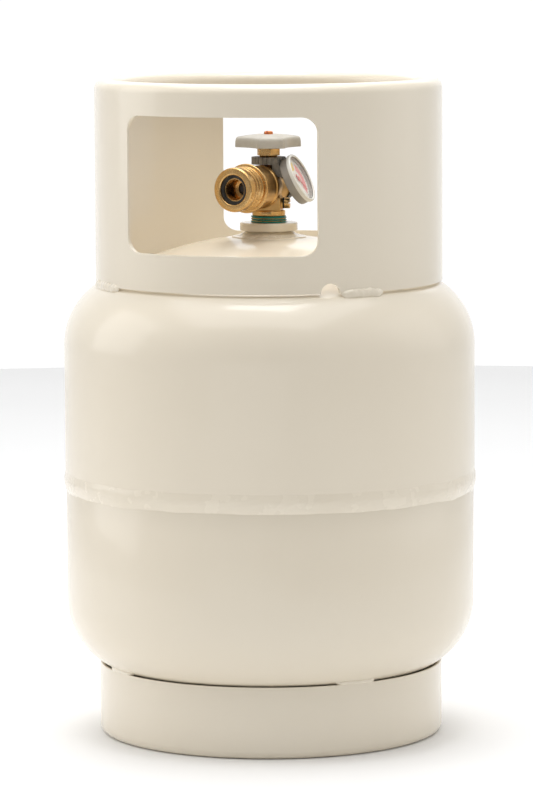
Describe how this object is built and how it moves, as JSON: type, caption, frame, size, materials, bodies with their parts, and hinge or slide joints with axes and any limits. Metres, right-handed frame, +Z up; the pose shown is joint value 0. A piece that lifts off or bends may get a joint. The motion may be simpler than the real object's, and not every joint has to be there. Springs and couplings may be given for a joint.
{
  "type": "propane tank",
  "caption": "Upright refillable propane cylinder with a windowed collar, foot ring and a brass service valve with handwheel, threaded outlet and level gauge.",
  "frame": {"origin": "on the tank's axis at the plane the foot ring stands on", "axes": "+Z up along the tank's axis; the front hand window faces -Y and the gauge faces +X"},
  "size_m": [0.3136, 0.3136, 0.496],
  "materials": {
    "tank_paint": "glossy cream enamel",
    "weld_paint": "glossy cream enamel over weld bead",
    "valve_brass": "forged and machined brass",
    "trim_brass": "turned brass",
    "sealant": "dried thread sealant",
    "black_rubber": "moulded",
    "black_plastic": "moulded",
    "wheel_grey": "satin grey enamel",
    "copper_screw": "copper coloured",
    "spring_steel": "bright drawn",
    "gauge_grey": "satin moulded",
    "bezel": "pale moulded ring",
    "dial_white": "printed card",
    "needle_red": "red moulded",
    "lens_clear": "clear"
  },
  "bodies": {
    "tank": {"upper_shell": "tank_paint", "lower_shell": "tank_paint", "girth_weld": "weld_paint", "valve_bung": "tank_paint", "bung_weld": "weld_paint", "collar": "tank_paint", "collar_welds": "weld_paint", "foot_ring": "tank_paint", "foot_ring_welds": "weld_paint", "valve_body": "valve_brass", "thread_sealant": "sealant", "bonnet": "valve_brass", "bonnet_gasket": "valve_brass", "stem_oring": "black_rubber", "outlet_seal": "black_rubber", "check_retainer": "trim_brass", "relief_retainer": "trim_brass", "relief_cap": "black_plastic", "bleeder_washer": "black_rubber", "dip_tube": "spring_steel", "float_housing": "black_plastic", "float_pin": "spring_steel", "gauge_housing": "gauge_grey", "gauge_bracket": "gauge_grey", "gauge_gasket": "black_rubber", "gauge_dial": "dial_white", "gauge_lens": "lens_clear", "gauge_bezel": "bezel"},
    "handwheel": {"handwheel": "wheel_grey", "handwheel_screw": "copper_screw", "upper_stem": "trim_brass"},
    "spindle": {"lower_spindle": "trim_brass", "seat_disc": "black_rubber"},
    "check_valve": {"check_plunger": "black_plastic", "check_spring": "spring_steel"},
    "relief_valve": {"relief_poppet": "trim_brass", "relief_disc": "black_rubber", "relief_spring": "spring_steel"},
    "bleeder": {"bleeder_screw": "trim_brass"},
    "float": {"float_arm": "spring_steel", "level_float": "black_plastic"},
    "fill_stop": {"stop_piston": "black_plastic"},
    "gauge_drive": {"gauge_rod": "spring_steel"},
    "needle": {"gauge_needle": "needle_red", "gauge_magnet": "spring_steel"}
  },
  "joints": [
    {"name": "handwheel_turn", "type": "hinge", "parent": "tank", "child": "handwheel", "pos_m": [0, 0, 0.4475], "axis": [0, 0, 1], "range_deg": [0, 720]},
    {"name": "spindle_lift", "type": "slide", "parent": "handwheel", "child": "spindle", "axis": [0, 0, 1], "range_m": [0, 0.003]},
    {"name": "check_push", "type": "slide", "parent": "tank", "child": "check_valve", "axis": [0.1736, 0.9848, 0], "range_m": [0, 0.004], "stiffness_N_per_m": 800, "springref_m": -0.004},
    {"name": "relief_lift", "type": "slide", "parent": "tank", "child": "relief_valve", "axis": [0.1736, 0.9848, 0], "range_m": [0, 0.0016], "stiffness_N_per_m": 14000, "springref_m": -0.004},
    {"name": "bleeder_turn", "type": "hinge", "parent": "tank", "child": "bleeder", "pos_m": [0.01358, 0.00339, 0.4014], "axis": [0.9703, 0.2419, 0], "range_deg": [0, 540]},
    {"name": "float_swing", "type": "hinge", "parent": "tank", "child": "float", "pos_m": [0, 0, 0.324], "axis": [-0.7071, 0.7071, 0], "range_deg": [0, 80]},
    {"name": "stop_lift", "type": "slide", "parent": "tank", "child": "fill_stop", "axis": [0, 0, 1], "range_m": [0, 0.0036]},
    {"name": "gauge_drive_turn", "type": "hinge", "parent": "tank", "child": "gauge_drive", "pos_m": [0.00459, 0.00764, 0.36], "axis": [0, 0, 1], "range_deg": [0, 241]},
    {"name": "needle_turn", "type": "hinge", "parent": "tank", "child": "needle", "pos_m": [0.0265, 0.002, 0.4212], "axis": [0.9, 0.0499, 0.4331], "range_deg": [0, 241]}
  ],
  "couplings": [
    {"joint": "handwheel_turn", "follows": "spindle_lift", "rad_per_m": 4188},
    {"joint": "stop_lift", "follows": "float_swing", "m_per_rad": 0.0025},
    {"joint": "gauge_drive_turn", "follows": "float_swing", "ratio": 3},
    {"joint": "needle_turn", "follows": "float_swing", "ratio": 3}
  ]
}
